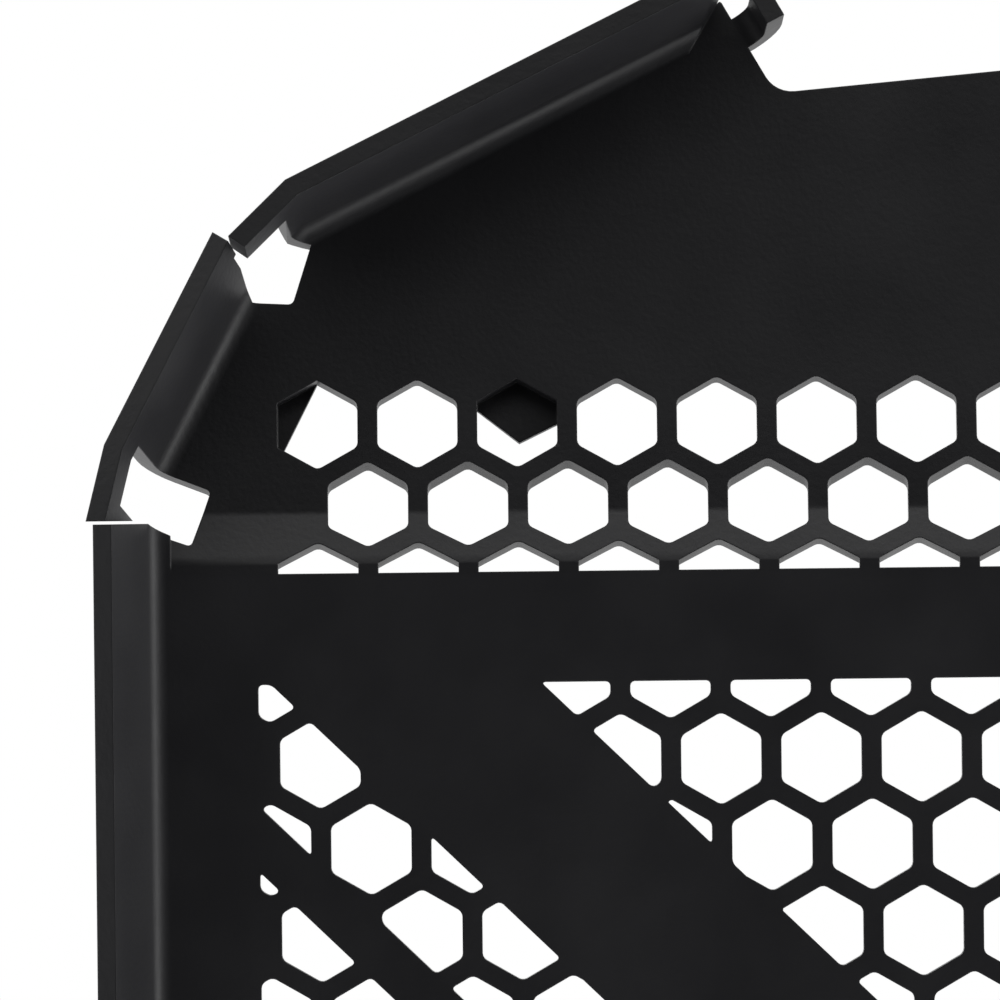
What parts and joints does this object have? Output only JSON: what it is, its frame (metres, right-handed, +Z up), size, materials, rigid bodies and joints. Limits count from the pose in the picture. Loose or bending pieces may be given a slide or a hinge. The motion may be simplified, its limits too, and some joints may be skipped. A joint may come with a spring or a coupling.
{
  "type": "motorcycle radiator guard",
  "caption": "Shallow tray of folded black sheet with a honeycomb mesh, a wide chevron band and a notched top edge, bolted in front of a radiator.",
  "frame": {"origin": "middle of the four bolt holes, on the inner face of the main panel", "axes": "+Z up, X across the guard, +Y from the open side of the tray through the main panel"},
  "size_m": [0.2858, 0.0285, 0.1896],
  "materials": {
    "powder_coat": "satin black powder coat on aluminium sheet"
  },
  "bodies": {
    "root": {"radiator_guard": "powder_coat"}
  },
  "joints": []
}
